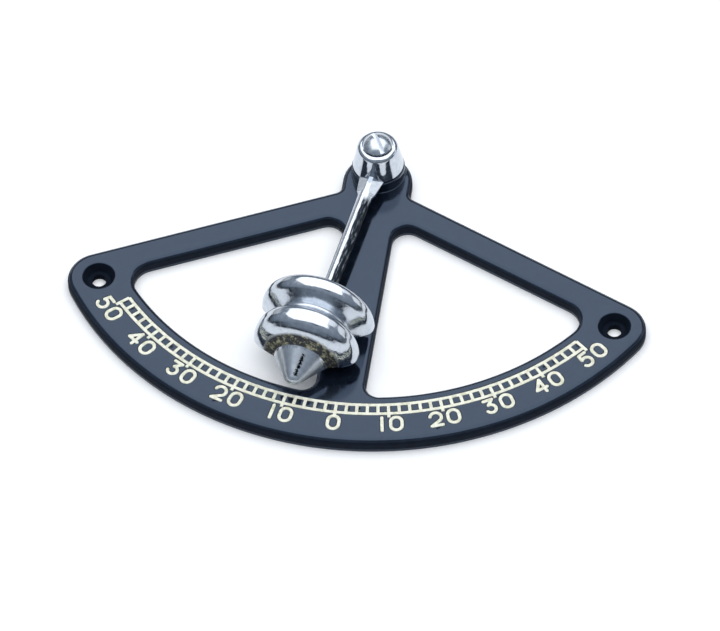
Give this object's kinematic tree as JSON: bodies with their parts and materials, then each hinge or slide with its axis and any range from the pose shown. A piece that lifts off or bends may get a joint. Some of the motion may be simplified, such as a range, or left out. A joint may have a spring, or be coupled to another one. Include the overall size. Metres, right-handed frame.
{
  "type": "pendulum clinometer",
  "caption": "Sector-shaped moulded backplate with a filled degree scale and a heavy plated pendulum whose pointer shows the angle of heel.",
  "frame": {"origin": "on the pivot axis, at the backplate's flat back face", "axes": "+X to the right along the scale, -Y from the pivot to the zero mark, +Z out of the face along the pivot axis"},
  "size_m": [0.1854, 0.1167, 0.0279],
  "materials": {
    "phenolic": "moulded dark blue-black phenolic, dulled gloss",
    "scale_paint": "cream enamel wiped into the engraving",
    "chrome_plate": "bright chromium plate on turned brass, lightly tarnished in the hollows",
    "turned_brass": "turned, unplated",
    "pin_steel": "ground dowel"
  },
  "bodies": {
    "frame": {"backplate": "phenolic", "scale_ladder": "scale_paint", "numeral_left_50": "scale_paint", "numeral_left_40": "scale_paint", "numeral_left_30": "scale_paint", "numeral_left_20": "scale_paint", "numeral_left_10": "scale_paint", "numeral_zero": "scale_paint", "numeral_right_10": "scale_paint", "numeral_right_20": "scale_paint", "numeral_right_30": "scale_paint", "numeral_right_40": "scale_paint", "numeral_right_50": "scale_paint", "pivot_insert": "turned_brass", "seat_washer": "turned_brass", "pivot_screw": "chrome_plate"},
    "pendulum": {"pivot_bush": "turned_brass", "hub": "chrome_plate", "arm": "chrome_plate", "bob": "chrome_plate", "bob_pin": "pin_steel"}
  },
  "joints": [
    {"name": "pendulum_swing", "type": "hinge", "parent": "frame", "child": "pendulum", "pos_m": [0, 0, 0], "axis": [0, 0, 1], "continuous": true}
  ]
}
